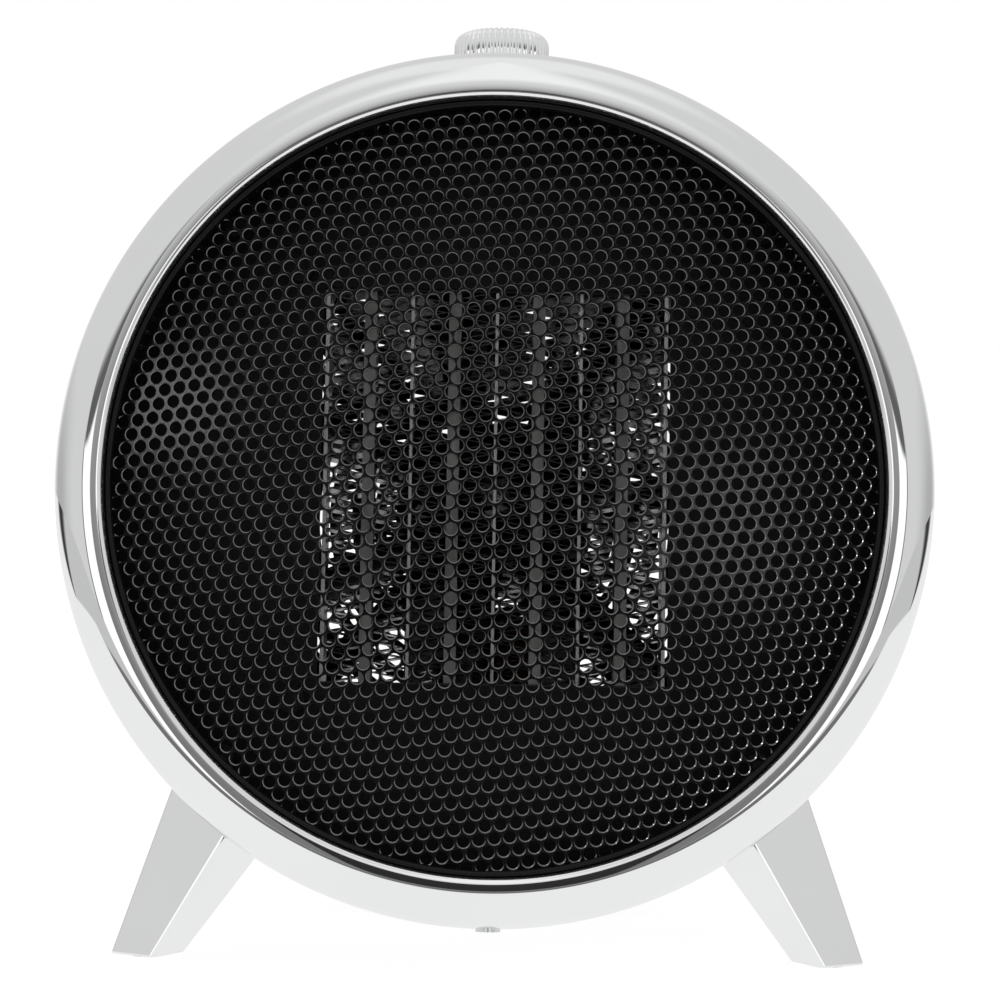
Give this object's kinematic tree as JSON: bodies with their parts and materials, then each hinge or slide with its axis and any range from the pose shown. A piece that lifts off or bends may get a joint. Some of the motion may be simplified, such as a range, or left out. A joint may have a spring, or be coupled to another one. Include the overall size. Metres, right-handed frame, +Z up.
{
  "type": "round ceramic fan heater",
  "caption": "Small round tabletop ceramic fan heater: chromed drum leaning back on four splayed legs, domed black perforated grille, ridged knob on top.",
  "frame": {"origin": "on the table, under the centre of the plan of the whole heater", "axes": "+Z up, -Y towards the front grille, +X to the right as seen from the front"},
  "size_m": [0.226, 0.1446, 0.25],
  "materials": {
    "chrome": "bright plated, mirror-like",
    "chrome_shell": "bright plated shell",
    "black_sheet": "black satin coat on perforated steel",
    "black_plastic": "black moulded, fine grain",
    "dial_black": "black dial with plain white marks",
    "dark_plastic": "dark heat-proof moulding",
    "fan_blue_black": "dark moulded fan",
    "white_nylon": "natural nylon",
    "switch_white": "white moulded case",
    "fin_aluminium": "thin bright sheet",
    "tube_aluminium": "extruded tube, dull",
    "cast_aluminium": "die cast bracket",
    "ptc_ceramic": "fired barium titanate stones",
    "fuse_ceramic": "glazed sleeve",
    "steel": "plated steel",
    "dark_steel": "blackened steel screws",
    "lamination": "stack of motor sheets",
    "brass": "brass",
    "bronze": "oil-filled bronze",
    "copper_wire": "enamelled copper wire, brass stands in",
    "bakelite": "brown thermoset",
    "rubber": "black rubber"
  },
  "bodies": {
    "root": {"drum_housing": "chrome_shell", "front_bezel": "chrome", "grille_trim_ring": "black_sheet", "front_grille": "black_sheet", "bezel_screw": "steel", "outlet_baffle": "black_plastic", "baffle_screws": "dark_steel", "element_top_cap": "dark_plastic", "element_bottom_cap": "dark_plastic", "ptc_tubes": "tube_aluminium", "ptc_ceramics": "ptc_ceramic", "fin_packs": "fin_aluminium", "fin_separators": "fin_aluminium", "element_side_rails": "fin_aluminium", "element_terminals": "brass", "element_screws": "steel", "thermal_cutoff": "bakelite", "cutoff_bracket": "steel", "thermal_fuse": "fuse_ceramic", "fan_shroud": "dark_plastic", "shroud_screws": "steel", "motor_stator": "lamination", "motor_winding": "copper_wire", "coil_bobbin": "white_nylon", "motor_front_bracket": "cast_aluminium", "motor_rear_bracket": "cast_aluminium", "front_bearing": "bronze", "rear_bearing": "bronze", "motor_screws": "steel", "motor_nuts": "steel", "rear_cover": "black_plastic", "rear_cover_screws": "dark_steel", "cord_bush": "rubber", "terminal_block": "white_nylon", "leg_front_left": "chrome", "leg_front_right": "chrome", "leg_rear_left": "chrome", "leg_rear_right": "chrome", "leg_screws": "steel", "foot_pads": "rubber", "dial_plate": "dial_black", "switch_body": "dark_plastic", "switch_nut": "steel", "switch_terminals": "brass", "tip_switch_case": "switch_white", "tip_pivot_pin": "steel", "tip_contacts": "brass"},
    "fan": {"fan_impeller": "fan_blue_black", "impeller_nut": "steel", "motor_shaft": "steel", "motor_rotor": "cast_aluminium"},
    "knob": {"control_knob": "chrome", "switch_shaft": "brass"},
    "tilt_weight": {"tip_pendulum": "brass"}
  },
  "joints": [
    {"name": "fan_spin", "type": "hinge", "parent": "root", "child": "fan", "pos_m": [0, 0.01144, 0.12033], "axis": [0, 0.9962, -0.0872], "continuous": true},
    {"name": "knob_turn", "type": "hinge", "parent": "root", "child": "knob", "pos_m": [0, -0.00388, 0.23209], "axis": [0, 0.0872, 0.9962], "range_deg": [-270, 0]},
    {"name": "tilt_swing", "type": "hinge", "parent": "root", "child": "tilt_weight", "pos_m": [0, 0.03268, 0.03295], "axis": [1, 0, 0], "range_deg": [-20, 20]}
  ]
}
